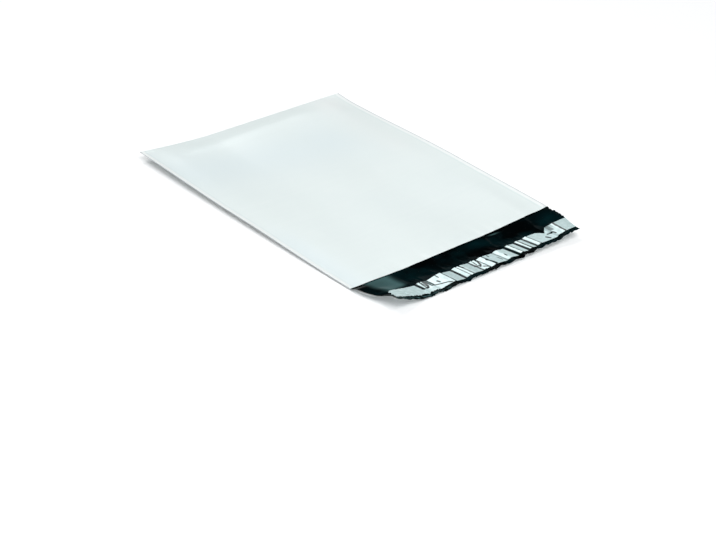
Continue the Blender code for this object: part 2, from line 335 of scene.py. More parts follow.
def panelGap(across, along):
    fromFold = bagShape["pocketLength"] - along
    fromMiddle = np.abs(across - bagShape["mouthGapPlace"]) / bagShape["mouthGapSpread"]
    mouth = bagShape["mouthGap"] * smooth(1 - fromMiddle) * smooth(1 - along / bagShape["mouthGapReach"])
    spring = smooth(1 - np.abs(fromFold - bagShape["foldSpringFromFold"]) / bagShape["foldSpringReach"])
    crest = np.interp(across / halfWidth, (-1.0, 0.0, 1.0), bagShape["foldWaveFromFold"])
    toFold, toMouth = bagShape["foldWaveReaches"]
    wave = smooth(1 - np.maximum((crest - fromFold) / toFold, (fromFold - crest) / toMouth))
    middle, reach, run = bagShape["foldWaveSpan"]
    wave = wave * smooth((reach - np.abs(across - middle)) / run)
    depth, longest, shortest = bagShape["slackWaves"]
    slack = depth * softWaves(across, along, waveSeeds["slack"], longest, shortest)
    gap = bagShape["pocketGap"] + mouth + bagShape["foldSpring"] * spring + slack
    gap = gap + bagShape["foldWave"] * wave
    gap = gap * smooth((halfPocket - np.abs(across)) / bagShape["pocketBloom"])
    pinch = smooth(1 - fromFold / bagShape["foldPinchLength"])
    return gap * (1 - pinch) + 2 * bagShape["foldRadius"] * pinch


def acrossPlaces(spacing, inset=0.0):  # every crease, every side line, and even steps between them
    end = halfWidth - inset
    lines = set(pleatPlaces.tolist())
    for inward in (bagShape["seamWidth"],) + seamLines["meshLines"]:
        lines |= {halfWidth - inward, inward - halfWidth}
    lines = [-end] + sorted(line for line in lines if abs(line) < end - 0.0002) + [end]
    places = [lines[0]]
    for start, end in zip(lines, lines[1:]):
        count = max(1, math.ceil((end - start) / spacing))
        places += [start + (end - start) * step / count for step in range(1, count + 1)]
    return np.array(places)


def evenSteps(start, end, count):
    return [start + (end - start) * step / count for step in range(count + 1)]


def gridMesh(name, points):  # points[row, column] to a mesh of quads, with its faces' rows and columns
    rows, columns = points.shape[:2]
    row, column = np.meshgrid(np.arange(rows - 1), np.arange(columns - 1), indexing="ij")
    corner = (row * columns + column).ravel()
    faces = np.stack([corner, corner + 1, corner + columns + 1, corner + columns], axis=-1)
    mesh = bpy.data.meshes.new(name)
    mesh.from_pydata(points.reshape(-1, 3).tolist(), [], faces.tolist())
    return mesh, row.ravel(), column.ravel()


def addAttribute(mesh, name, values):
    layer = mesh.attributes.new(name, "FLOAT", "POINT")
    layer.data.foreach_set("value", values.ravel().astype(np.float32))


def addPiece(name, mesh, materials):
    piece = bpy.data.objects.new(name, mesh)
    bpy.context.scene.collection.objects.link(piece)
    for material in materials:
        mesh.materials.append(material)
    return piece


def thicken(piece, thickness, otherSlot=0):
    solidify = piece.modifiers.new("thickness", "SOLIDIFY")
    solidify.thickness = thickness
    solidify.offset = -1.0
    solidify.use_even_offset = True
    solidify.material_offset = otherSlot
    solidify.material_offset_rim = otherSlot
    evaluated = piece.evaluated_get(bpy.context.evaluated_depsgraph_get())
    mesh = bpy.data.meshes.new_from_object(evaluated)
    piece.modifiers.clear()
    piece.data = mesh
    return mesh


def finishShading(piece, sharpAngle):
    piece.data.shade_smooth()
    piece.data.set_sharp_from_angle(angle=math.radians(sharpAngle))


# node helpers and the shader groups that the materials share
def addNode(tree, kind, inputs=None, **settings):
    node = tree.nodes.new(kind)
    for name, value in settings.items():
        setattr(node, name, value)
    for name, value in (inputs or {}).items():
        if isinstance(value, bpy.types.NodeSocket):
            tree.links.new(value, node.inputs[name])
        else:
            node.inputs[name].default_value = value
    return node


def mixColours(tree, factor, first, second):
    node = addNode(tree, "ShaderNodeMix", data_type="RGBA")
    for name, value in (("Factor_Float", factor), ("A_Color", first), ("B_Color", second)):
        socket = next(item for item in node.inputs if item.identifier == name)
        if isinstance(value, bpy.types.NodeSocket):
            tree.links.new(value, socket)
        else:
            socket.default_value = value
    return next(item for item in node.outputs if item.identifier == "Result_Color")


def math2(tree, operation, first, second=0.0, clamp=False):
    node = addNode(tree, "ShaderNodeMath", {0: first, 1: second}, operation=operation, use_clamp=clamp)
    return node.outputs[0]


def rampValue(tree, value, low, high, start, end):  # low to high while the value goes from start to end
    node = addNode(tree, "ShaderNodeMapRange", {"Value": value, "From Min": start, "From Max": end,
                                                "To Min": low, "To Max": high})
    return node.outputs["Result"]


def startGroup(name, inputs, outputs):
    group = bpy.data.node_groups.new(name, "ShaderNodeTree")
    for label, value in inputs:
        socket = group.interface.new_socket(name=label, in_out="INPUT", socket_type="NodeSocketFloat")
        socket.default_value = value
    for label in outputs:
        group.interface.new_socket(name=label, in_out="OUTPUT", socket_type="NodeSocketFloat")
    return group, group.nodes.new("NodeGroupInput"), group.nodes.new("NodeGroupOutput")


groupValues = {
    "lineStretch": 3.0,
    "mottleRoughness": 0.55,
    "warpScale": 60.0,
    "warpReach": 0.004,
    "ridgeWidth": 0.16,
    "ridgeHeight": 0.3,
    "speckSizes": (0.10, 0.18),
    "specksLeftOut": 0.93,
}


def makeFilmGrain():  # extrusion lines that run across the bag, and broad uneven tone
    group, given, result = startGroup("filmGrain", [("Line Scale", 240.0), ("Mottle Scale", 22.0)],
                                      ["Lines", "Mottle"])
    place = addNode(group, "ShaderNodeTexCoord").outputs["Object"]
    stretch = groupValues["lineStretch"]
    scale = addNode(group, "ShaderNodeCombineXYZ",
                    {"X": stretch, "Y": given.outputs["Line Scale"], "Z": stretch})
    stretched = addNode(group, "ShaderNodeVectorMath", {0: place, 1: scale.outputs[0]},
                        operation="MULTIPLY")
    lines = addNode(group, "ShaderNodeTexNoise",
                    {"Vector": stretched.outputs[0], "Scale": 1.0, "Detail": 3.0})
    mottle = addNode(group, "ShaderNodeTexNoise",
                     {"Vector": place, "Scale": given.outputs["Mottle Scale"], "Detail": 4.0,
                      "Roughness": groupValues["mottleRoughness"]})
    group.links.new(lines.outputs["Fac"], result.inputs["Lines"])
    group.links.new(mottle.outputs["Fac"], result.inputs["Mottle"])
    return group


def makeFilmCrinkle():  # small sharp-ridged crinkles of thin handled film
    group, given, result = startGroup("filmCrinkle", [("Scale", 120.0), ("Warp", 0.35)],
                                      ["Height", "Ridge"])
    place = addNode(group, "ShaderNodeTexCoord").outputs["Object"]
    warp = addNode(group, "ShaderNodeTexNoise",
                   {"Vector": place, "Scale": groupValues["warpScale"], "Detail": 2.0})
    push = addNode(group, "ShaderNodeVectorMath",
                   {0: warp.outputs["Color"], "Scale": groupValues["warpReach"]}, operation="SCALE")
    moved = addNode(group, "ShaderNodeVectorMath", {0: place, 1: push.outputs[0]}, operation="ADD")
    moved, size = moved.outputs[0], given.outputs["Scale"]
    cells = addNode(group, "ShaderNodeTexVoronoi", {"Vector": moved, "Scale": size},
                    feature="DISTANCE_TO_EDGE")
    ridge = rampValue(group, cells.outputs["Distance"], 1.0, 0.0, 0.0, groupValues["ridgeWidth"])
    soft = addNode(group, "ShaderNodeTexNoise",
                   {"Vector": moved, "Scale": size, "Detail": 3.0, "Distortion": given.outputs["Warp"]})
    raised = math2(group, "MULTIPLY", ridge, groupValues["ridgeHeight"])
    group.links.new(math2(group, "ADD", soft.outputs["Fac"], raised), result.inputs["Height"])
    group.links.new(ridge, result.inputs["Ridge"])
    return group


def makeDustAndSheen():  # sparse pale specks of dust, and a soft noise that places the black side's painted teal sheen
    group, given, result = startGroup("dustAndSheen", [("Speck Scale", 700.0), ("Sheen Scale", 30.0)],
                                      ["Specks", "SheenHaze"])
    place = addNode(group, "ShaderNodeTexCoord").outputs["Object"]
    cells = addNode(group, "ShaderNodeTexVoronoi",
                    {"Vector": place, "Scale": given.outputs["Speck Scale"]})
    near = rampValue(group, cells.outputs["Distance"], 1.0, 0.0, *groupValues["speckSizes"])
    chance = addNode(group, "ShaderNodeSeparateColor", {"Color": cells.outputs["Color"]})
    few = math2(group, "GREATER_THAN", chance.outputs[0], groupValues["specksLeftOut"])
    sheenHaze = addNode(group, "ShaderNodeTexNoise",
                   {"Vector": place, "Scale": given.outputs["Sheen Scale"], "Detail": 5.0})
    group.links.new(math2(group, "MULTIPLY", near, few), result.inputs["Specks"])
    group.links.new(sheenHaze.outputs["Fac"], result.inputs["SheenHaze"])
    return group


filmGrain, filmCrinkle, dustAndSheen = makeFilmGrain(), makeFilmCrinkle(), makeDustAndSheen()


def useGroup(tree, group, values):  # one value for each input of the group, in their order
    node = tree.nodes.new("ShaderNodeGroup")
    node.node_tree = group
    for socket, value in zip(node.inputs, values):
        socket.default_value = value
    return node


def startMaterial(name):
    material = bpy.data.materials.new(name)
    material.use_nodes = True
    return material, material.node_tree, material.node_tree.nodes["Principled BSDF"]


def readMask(tree, name):
    return addNode(tree, "ShaderNodeAttribute", attribute_name=name).outputs["Fac"]


def mixShares(tree, first, second, shares):
    parts = [math2(tree, "MULTIPLY", value, share) for value, share in zip((first, second), shares)]
    return math2(tree, "ADD", *parts)


def setRoughness(tree, shader, unevenness, look):
    value = rampValue(tree, unevenness, *look["roughness"], *look["roughnessRange"])
    tree.links.new(value, shader.inputs["Roughness"])


def bumpInto(tree, shader, layers):  # layers of (height, strength, distance), finest last
    normal = None
    for height, strength, distance in layers:
        node = addNode(tree, "ShaderNodeBump",
                       {"Height": height, "Strength": strength, "Distance": distance})
        if normal is not None:
            tree.links.new(normal, node.inputs["Normal"])
        normal = node.outputs["Normal"]
    tree.links.new(normal, shader.inputs["Normal"])


whiteFilmLook = {
    "colour": (0.813, 0.889, 0.879, 1.0),
    "shade": (0.785, 0.864, 0.858, 1.0),
    # painted shade: a cooler, darker colour at the closed end and on the left by the mouth
    "coolShade": (0.766, 0.857, 0.868, 1.0),
    "weld": (0.74, 0.83, 0.83, 1.0),
    # the paler pressed strip by each weld; the same colour paints light on the right side
    "pressed": (0.880, 0.920, 0.915, 1.0),
    "cutEdge": (0.58, 0.61, 0.62, 1.0),
    "grainScales": (240.0, 16.0),
    "crinkle": (45.0, 0.6),
    "toneShares": (0.7, 0.3),
    "toneRange": (0.35, 0.65),
    "roughness": (0.29, 0.38),
    "roughnessRange": (0.3, 0.7),
    "ior": 1.51,
    "lineBump": (0.10, 0.00008),
    "crinkleBump": (0.05, 0.0006),
}


def makeWhiteFilm():
    material, tree, shader = startMaterial("whiteFilm")
    grain = useGroup(tree, filmGrain, whiteFilmLook["grainScales"])
    crinkle = useGroup(tree, filmCrinkle, whiteFilmLook["crinkle"])
    tone = mixShares(tree, grain.outputs["Mottle"], grain.outputs["Lines"], whiteFilmLook["toneShares"])
    spread = rampValue(tree, tone, 0.0, 1.0, *whiteFilmLook["toneRange"])
    body = mixColours(tree, spread, whiteFilmLook["colour"], whiteFilmLook["shade"])
    # the cool colour is painted shade, and the pressed colour also carries painted light on the right side
    for mask in ("coolShade", "weld", "pressed", "cutEdge"):
        body = mixColours(tree, readMask(tree, mask), body, whiteFilmLook[mask])
    tree.links.new(body, shader.inputs["Base Color"])
    setRoughness(tree, shader, grain.outputs["Mottle"], whiteFilmLook)
    shader.inputs["IOR"].default_value = whiteFilmLook["ior"]
    bumpInto(tree, shader, [(crinkle.outputs["Height"], *whiteFilmLook["crinkleBump"]),
                            (grain.outputs["Lines"], *whiteFilmLook["lineBump"])])
    return material


blackFilmLook = {
    "colour": (0.0004, 0.0008, 0.0010, 1.0),
    # painted sheen: the teal colour of soft reflections on the black side
    "sheenHaze": (0.0010, 0.0120, 0.0145, 1.0),
    # painted sheen: the paler teal of the sheen patch, the glint by the mouth and the rim's glints
    "paintedSheen": (0.062, 0.128, 0.130, 1.0),
    "paleCutEdge": (0.55, 0.56, 0.55, 1.0),
    "speck": (0.05, 0.06, 0.06, 1.0),
    "speckAndSheenScales": (900.0, 34.0),
    "crinkle": (150.0, 0.4),
    "sheenHazeRange": (0.45, 0.75),
    "sheenShares": (0.7, 1.0),
    "sheenRange": (0.35, 0.6),
    "roughness": (0.12, 0.20),
    "roughnessRange": (0.35, 0.7),
    "specular": 0.009,
    "specularTint": (0.25, 0.90, 1.0, 1.0),
    "ior": 1.5,
    "crinkleBump": (0.08, 0.0004),
}


def makeBlackFilm():
    material, tree, shader = startMaterial("blackFilm")
    specksAndSheen = useGroup(tree, dustAndSheen, blackFilmLook["speckAndSheenScales"])
    crinkle = useGroup(tree, filmCrinkle, blackFilmLook["crinkle"])
    sheenHaze = rampValue(tree, specksAndSheen.outputs["SheenHaze"], 0.0, 1.0, *blackFilmLook["sheenHazeRange"])
    # painted teal sheen, from a noise and from placed spots
    sheenAmount = math2(tree, "ADD", sheenHaze, readMask(tree, "tealSheen"), clamp=True)
    body = mixColours(tree, sheenAmount, blackFilmLook["colour"], blackFilmLook["sheenHaze"])
    patchy = rampValue(tree, specksAndSheen.outputs["SheenHaze"], *blackFilmLook["sheenShares"],
                       *blackFilmLook["sheenRange"])
    # painted sheen and glints on the black side
    sheenShown = math2(tree, "MULTIPLY", readMask(tree, "paintedSheen"), patchy)
    body = mixColours(tree, sheenShown, body, blackFilmLook["paintedSheen"])
    # a pale grey line along the flap's left cut edge
    body = mixColours(tree, readMask(tree, "paleCutEdge"), body, blackFilmLook["paleCutEdge"])
    tree.links.new(mixColours(tree, specksAndSheen.outputs["Specks"], body, blackFilmLook["speck"]),
                   shader.inputs["Base Color"])
    setRoughness(tree, shader, specksAndSheen.outputs["SheenHaze"], blackFilmLook)
    shader.inputs["IOR"].default_value = blackFilmLook["ior"]
    shader.inputs["Specular IOR Level"].default_value = blackFilmLook["specular"]
    shader.inputs["Specular Tint"].default_value = blackFilmLook["specularTint"]
    bumpInto(tree, shader, [(crinkle.outputs["Height"], *blackFilmLook["crinkleBump"])])
    return material


linerLook = {
    "colour": (0.675, 0.832, 0.840, 1.0),
    "shade": (0.57, 0.728, 0.732, 1.0),
    # painted shade: the near-black colour along the liner's creases
    "crease": (0.006, 0.018, 0.019, 1.0),
    # painted shade: the dark colour of facets turned away from the light
    "paintedFacetShade": (0.045, 0.085, 0.085, 1.0),
    "grainScales": (300.0, 70.0),
    "crinkle": (210.0, 0.5),
    "toneShares": (0.5, 0.5),
    "toneRange": (0.40, 0.66),
    "creaseRange": (0.04, 0.38),
    "roughness": (0.20, 0.30),
    "roughnessRange": (0.3, 0.7),
    "metallic": 0.06,
    "crinkleBump": (0.14, 0.0003),
}


def makeLinerFilm():
    material, tree, shader = startMaterial("linerFilm")
    grain = useGroup(tree, filmGrain, linerLook["grainScales"])
    crinkle = useGroup(tree, filmCrinkle, linerLook["crinkle"])
    tone = mixShares(tree, grain.outputs["Mottle"], crinkle.outputs["Height"], linerLook["toneShares"])
    spread = rampValue(tree, tone, 0.0, 1.0, *linerLook["toneRange"])
    body = mixColours(tree, spread, linerLook["colour"], linerLook["shade"])
    # painted shade on the facets turned away from the light
    body = mixColours(tree, readMask(tree, "shade"), body, linerLook["paintedFacetShade"])
    # painted shade along the creases
    creased = rampValue(tree, readMask(tree, "crease"), 0.0, 1.0, *linerLook["creaseRange"])
    tree.links.new(mixColours(tree, creased, body, linerLook["crease"]), shader.inputs["Base Color"])
    setRoughness(tree, shader, grain.outputs["Mottle"], linerLook)
    shader.inputs["Metallic"].default_value = linerLook["metallic"]
    bumpInto(tree, shader, [(crinkle.outputs["Height"], *linerLook["crinkleBump"])])
    return material


glueLook = {
    "colour": (0.56, 0.50, 0.33, 1.0),
    "shade": (0.44, 0.38, 0.24, 1.0),
    "crinkle": (320.0, 0.8),
    "roughness": 0.28,
    "crinkleBump": (0.5, 0.0003),
}


def makeGlue():
    material, tree, shader = startMaterial("hotMeltGlue")
    crinkle = useGroup(tree, filmCrinkle, glueLook["crinkle"])
    tree.links.new(mixColours(tree, crinkle.outputs["Ridge"], glueLook["colour"], glueLook["shade"]),
                   shader.inputs["Base Color"])
    shader.inputs["Roughness"].default_value = glueLook["roughness"]
    bumpInto(tree, shader, [(crinkle.outputs["Height"], *glueLook["crinkleBump"])])
    return material


print("materials ready")


# the film: front panel from the mouth, bottom fold, rear panel, then the flap
filmRows = {
    "nearMouth": (0.060, 20),
    "middle": 16,
    "nearFold": (0.045, 12),
    "fold": 8,
    "flap": 46,
    "acrossSpacing": 0.0014,
    "joinDistance": 1e-6,
    "sharpAngle": 50,
}
# tones and marks of the film, mostly painted light and shade (cool shade, paler light, sheens and glints),
# with places across from the middle and along from the mouth
filmTones = {
    "coolBand": ((-0.01, 0.235), 0.040),
    "coolBandSlope": -0.12,
    "coolBandEnd": (0.100, 0.060),
    "coolSide": (-0.108, 0.016),
    "coolSideEnd": (0.140, 0.070),
    "paintedSideLight": (0.092, 0.020, 0.25),
    "paintedSideLightStart": (0.10, 0.10),
    "paintedCornerLight": ((0.093, 0.290), (0.018, 0.016), 0.45),
    # the painted sheen patch, then the painted glint and rim glints
    "sheenAcross": (-0.104, -0.069, 0.010),
    "sheenAlong": (0.001, -0.0275),
    "sheenRuns": (0.003, 0.006),
    "sheenSlant": (-0.085, 0.25),
    "glint": ((0.047, -0.0022), (0.0045, 0.0009)),
    "glintSlope": -0.16,
    "rim": (-0.0476, 0.0011),
    "rimEnd": (-0.040, 0.02),
    "rimGlints": (0.45, 0.6),
    "rimWaves": (0.014, 0.004),
    # spots of painted teal sheen
    "tealSheenSpots": (
        ((0.104, -0.014), (0.014, 0.012), 0.6),
        ((-0.055, -0.018), (0.012, 0.009), 0.5),
        ((0.020, -0.008), (0.030, 0.006), 0.3),
    ),
    "paleCutEdge": (0.0019, 0.0012),
    "paleCutEdgeStart": (-0.008, 0.006),
}


def panelRows():
    mouthPart, mouthSteps = filmRows["nearMouth"]
    foldPart, foldSteps = filmRows["nearFold"]
    length, pinch = bagShape["pocketLength"], bagShape["foldPinchLength"]
    rows = evenSteps(0.0, mouthPart, mouthSteps)
    rows += evenSteps(mouthPart, length - foldPart, filmRows["middle"])[1:]
    rows += evenSteps(length - foldPart, length - pinch, foldSteps)[1:]
    return rows + evenSteps(length - pinch, length, 2)[1:]


def paintedCoolShade(place, along):  # painted shade: the closed end and the left side by the mouth are a little cooler and darker in tone
    (middleAcross, middleAlong), reach = filmTones["coolBand"]
    middle = middleAlong + filmTones["coolBandSlope"] * (place - middleAcross)
    end, run = filmTones["coolBandEnd"]
    band = np.exp(-((along - middle) / reach) ** 2) * smooth((end - place) / run)
    middle, reach = filmTones["coolSide"]
    end, run = filmTones["coolSideEnd"]
    return band + np.exp(-((place - middle) / reach) ** 2) * smooth((end - along) / run)


def paintedSideLight(place, along):  # painted light: the right side is paler towards the fold, as if it caught a little more light, and paler still in a spot near the fold
    middle, reach, strength = filmTones["paintedSideLight"]
    start, run = filmTones["paintedSideLightStart"]
    side = strength * np.exp(-((place - middle) / reach) ** 2) * smooth((along - start) / run)
    middle, size, strength = filmTones["paintedCornerLight"]
    return side + strength * softSpot(place, along, middle, size)


def sheenPatch(place, along):  # painted sheen, where the flap's left end turns up
    start, end, run = filmTones["sheenAcross"]
    inner, outer = filmTones["sheenAlong"]
    innerRun, outerRun = filmTones["sheenRuns"]
    slantFrom, slope = filmTones["sheenSlant"]
    outer = outer + slope * (place - slantFrom)
    sideways = smooth((place - start) / run) * smooth((end - place) / run)
    return sideways * smooth((inner - along) / innerRun) * smooth((along - outer) / outerRun)


def mouthGlint(place, along):  # a short slanted painted glint on the right
    middle, size = filmTones["glint"]
    return softSpot(place, along - filmTones["glintSlope"] * (place - middle[0]), middle, size)


def rimGlints(place, along):  # uneven painted glints, on the left of the flap's outer rim
    middle, width = filmTones["rim"]
    end, run = filmTones["rimEnd"]
    least, spread = filmTones["rimGlints"]
    glints = least + spread * softWaves(place, along, waveSeeds["rimGlints"], *filmTones["rimWaves"])
    onRim = np.exp(-((along - middle) / width) ** 2) * smooth((end - place) / run)
    return onRim * np.clip(glints, 0.0, 1.0)


def paintedSheenMask(place, along):  # every painted sheen and glint on the black side
    marks = sheenPatch(place, along) + mouthGlint(place, along) + rimGlints(place, along)
    return np.clip(marks, 0.0, 1.0)


def tealSheenMask(place, along):  # painted teal sheen in soft spots on the black side
    total = np.zeros(place.shape)
    for middle, size, strength in filmTones["tealSheenSpots"]:
        total = total + strength * softSpot(place, along, middle, size)
    return total * (along < 0)


def paleCutEdgeMask(place, along):  # a pale grey line along the flap's left cut edge
    inward, inwardRun = filmTones["paleCutEdge"]
    start, run = filmTones["paleCutEdgeStart"]
    return smooth((inward - halfWidth - place) / inwardRun) * smooth((start - along) / run)


def makeFilm(white, black):
    places = acrossPlaces(filmRows["acrossSpacing"])
    rows = panelRows()
    lines = [filmPoints(places, along, panelGap(places, np.full(places.shape, along))) for along in rows]
    bottom = filmPoints(places, rows[-1])
    for step in range(1, filmRows["fold"]):
        angle = math.pi * step / filmRows["fold"]
        radius = bagShape["foldRadius"]
        lines.append(bottom + np.array([0.0, radius * math.sin(angle), radius * (1 + math.cos(angle))]))
    lines += [filmPoints(places, along) for along in reversed(rows)]
    mouthRow = len(lines) - 1
    flapRows = evenSteps(0.0, -bagShape["flapLength"], filmRows["flap"])
    lines += [filmPoints(places, along) for along in flapRows[1:]]

    mesh, faceRow, faceColumn = gridMesh("mailerFilm", np.array(lines))
    foldRows = [rows[-1]] * (filmRows["fold"] - 1)
    alongs = np.array(rows + foldRows + rows[::-1] + flapRows[1:])[:, None]
    onPlace, onAlong = np.broadcast_arrays(places[None, :], alongs)
    addAttribute(mesh, "weld", weldLine(onPlace) * (onAlong > 0))
    # the painted cool shade
    addAttribute(mesh, "coolShade", paintedCoolShade(onPlace, onAlong))
    # the pressed strip by each weld, together with the painted light on the right side
    pressed = np.maximum(pressedStrip(onPlace), paintedSideLight(onPlace, onAlong))
    addAttribute(mesh, "pressed", pressed * (onAlong > 0))
    addAttribute(mesh, "cutEdge", cutEdge(onPlace) * (onAlong > 0))
    # the painted sheen and glints
    addAttribute(mesh, "paintedSheen", paintedSheenMask(onPlace, onAlong))
    # the painted teal sheen spots
    addAttribute(mesh, "tealSheen", tealSheenMask(onPlace, onAlong))
    addAttribute(mesh, "paleCutEdge", paleCutEdgeMask(onPlace, onAlong))
    middle = (places[faceColumn] + places[faceColumn + 1]) / 2
    atSide = np.abs(middle) > halfPocket
    seam = mesh.attributes.new("seam", "INT", "FACE")
    seam.data.foreach_set("value", (atSide & (faceRow < mouthRow)).astype(np.int32))
    mesh.flip_normals()
    piece = addPiece("mailerFilm", mesh, (black, white))
    weldSeams(thicken(piece, bagShape["filmThickness"], otherSlot=1))
    finishShading(piece, filmRows["sharpAngle"])
    return piece


def weldSeams(mesh):  # the panels' inner faces lie on each other down the sides, and are joined there
    bm = bmesh.new()
    bm.from_mesh(mesh)
    seam = bm.faces.layers.int["seam"]
    buried = [face for face in bm.faces if face[seam] and face.material_index == 0]
    bmesh.ops.delete(bm, geom=buried, context="FACES")
    bmesh.ops.remove_doubles(bm, verts=bm.verts, dist=filmRows["joinDistance"])
    bmesh.ops.holes_fill(bm, edges=[edge for edge in bm.edges if edge.is_boundary], sides=0)
    bmesh.ops.recalc_face_normals(bm, faces=bm.faces)
    bm.to_mesh(mesh)
    bm.free()


whiteFilm, blackFilm = makeWhiteFilm(), makeBlackFilm()
mailerFilm = makeFilm(whiteFilm, blackFilm)
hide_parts("bag_film")
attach(mailerFilm, "root")
print("film made,", len(mailerFilm.data.polygons), "faces")


# the bands on the flap: the liner, and the glue under it
bandValues = {
    "linerWidth": 0.017,
    "linerThickness": 0.00005,
    "linerAbove": 0.00045,
    "linerEndInset": 0.0006,
    "linerRows": 34,
    "linerSpacing": 0.0005,
    "linerLeftCut": (0.012, 0.0025),
    "leftCutReach": 0.030,
    "teeth": 0.0019,
    "teethCount": 6.5,
    "raggedEdge": 0.0005,
    "raggedWaves": (0.006, 0.002),
    "raggedEnd": (-0.045, 0.02),
    "raggedTrim": (-0.05, 0.4),
    "notch": (0.0755, 0.0820, 0.0875),
    "notchDepth": 0.0055,
    "glueWidth": 0.012,
    "glueThickness": 0.0001,
    "glueAbove": 0.00016,
    "glueEndInset": 0.014,
    "glueRows": 8,
    "glueSpacing": 0.0014,
    "glueFromNotch": 0.0008,
    "crinkleDepths": (0.00004, 0.00012),
    "crinkledEnd": (-0.062, -0.070),
    "crinkleStretch": 0.6,
    "crinkleWaves": (0.0065, 0.0022, 22),
    "creaseWidth": 0.00085,
    "creaseDepth": 0.00016,
    "deepestDip": 0.00019,
    "sharpAngle": 35,
}
# the runs over which creases and facets fade, in millimetres like their lists
creaseRun = 2.0
facetRuns = (1.0, 1.4, 2.0)
# straight creases, which dent the liner and carry its painted crease shade: place at the liner's inner
# edge, strength, and how far they reach outward
longCreases = (
    (-70.0, 0.9, -38.0), (-64.9, 0.5, -38.0), (-60.7, 0.9, -39.0), (-56.9, 0.5, -38.0),
    (-39.9, 0.85, -47.0), (-28.1, 0.85, -47.0), (-22.3, 0.5, -47.0), (-18.2, 0.35, -47.0),
    (-7.0, 0.4, -47.0), (1.6, 0.7, -47.0), (8.7, 0.6, -47.0), (22.2, 0.25, -47.0),
    (37.0, 1.0, -47.0), (41.5, 0.55, -47.0), (48.8, 1.0, -47.0), (52.6, 0.9, -47.0),
    (58.9, 0.8, -47.0), (64.2, 0.55, -47.0), (97.7, 1.0, -47.0),
)
# shorter creases, dented and painted with shade like the straight ones: points of (across, along) in
# millimetres, then width and strength
shortCreases = (
    (((-69.1, -28.0), (-70.2, -32.7), (-70.0, -36.1), (-68.8, -38.0)), 0.6, 0.9),
    (((-65.3, -28.0), (-65.9, -31.7), (-66.5, -35.7), (-67.1, -38.6)), 0.45, 0.6),
    (((-62.0, -28.0), (-62.4, -32.3), (-63.0, -35.7), (-64.9, -38.3), (-67.2, -38.7)), 0.8, 1.0),
    (((-46.7, -28.7), (-46.6, -31.9)), 0.5, 0.7),
    (((-50.8, -34.8), (-50.1, -37.1)), 0.8, 0.6),
    (((-58.1, -36.7), (-51.4, -39.5), (-44.7, -42.3), (-41.7, -44.1)), 0.5, 0.8),
    (((-18.9, -28.0), (-17.5, -32.5)), 0.8, 1.0),
    (((-6.9, -29.2), (-7.0, -31.3), (-5.8, -35.0), (-2.8, -38.2)), 0.45, 0.6),
    (((-3.0, -28.3), (-3.6, -32.7), (-3.5, -35.1)), 0.5, 0.8),
    (((0.9, -28.4), (0.8, -32.0), (-0.2, -36.6), (-2.6, -39.2)), 0.8, 1.0),
    (((-6.7, -35.9), (-2.0, -38.6), (3.8, -44.0)), 0.6, 0.8),
    (((9.1, -34.7), (11.5, -38.7), (13.4, -43.5)), 0.9, 0.9),
    (((14.8, -28.8), (14.8, -31.4)), 0.6, 0.5),
    (((21.5, -35.9), (22.9, -41.1)), 0.5, 0.5),
    (((29.2, -37.1), (29.6, -39.9)), 0.6, 0.7),
    (((80.4, -39.2), (83.3, -42.5)), 0.7, 0.9),
    (((84.8, -36.4), (87.6, -36.6), (90.4, -38.2), (91.6, -41.0)), 0.7, 0.7),
    (((98.0, -28.0), (99.6, -36.0), (101.1, -44.0)), 0.9, 1.0),
)
# facets turned away from the light, darkened with painted shade: places at the inner edge, then where they
# start and end outward
paintedShadeFacets = (
    ((-60.4, -56.8), (-20.0, -36.5), 0.75), ((86.8, 92.6), (-20.0, -37.0), 0.85),
    ((90.5, 95.4), (-20.0, -34.0), 0.35),
    ((-39.3, -28.4), (-20.0, -47.0), 0.13), ((-46.0, -40.9), (-20.0, -47.0), 0.08),
    ((-114.0, -70.2), (-20.0, -47.0), 0.06), ((-17.0, -7.6), (-20.0, -47.0), 0.10),
    ((99.0, 114.0), (-20.0, -47.0), 0.11), ((-70.2, -58.0), (-39.0, -47.0), 0.08),
    ((-58.4, -50.0), (-39.6, -47.0), 0.12), ((-50.4, -43.5), (-42.6, -47.0), 0.12),
)


def lineDistance(x, y, start, end):
    alongX, alongY = end[0] - start[0], end[1] - start[1]
    share = ((x - start[0]) * alongX + (y - start[1]) * alongY) / (alongX ** 2 + alongY ** 2)
    share = np.clip(share, 0.0, 1.0)
    return np.hypot(x - start[0] - share * alongX, y - start[1] - share * alongY)


def creaseMask(place, along):  # 1 on a crease, 0 away from it; it dents the liner and places the painted shade along its creases
    across = fanOut(place, along) * 1000
    out = along * 1000
    total = np.zeros(place.shape)
    for spot, strength, reach in longCreases:
        near = (place * 1000 - spot) / (bandValues["creaseWidth"] * 1000)
        total = np.maximum(total, strength * np.exp(-near ** 2) * smooth((out - reach) / creaseRun))
    for points, width, strength in shortCreases:
        for start, end in zip(points, points[1:]):
            near = lineDistance(across, out, start, end) / width
            total = np.maximum(total, strength * np.exp(-near ** 2))
    return total


def facetShade(place, along):  # 1 where a facet gets painted shade, 0 away from it
    total = np.zeros(place.shape)
    startRun, endRun, outRun = facetRuns
    for (start, end), (inner, outer), strength in paintedShadeFacets:
        inside = smooth((place * 1000 - start) / startRun) * smooth((end - place * 1000) / endRun)
        inside = inside * smooth((inner - along * 1000) / outRun) * smooth((along * 1000 - outer) / outRun)
        total = np.maximum(total, strength * inside)
    return total


def notchDip(places):
    start, middle, end = bandValues["notch"]
    return bandValues["notchDepth"] * np.interp(places, [start, middle, end], [0.0, 1.0, 0.0])


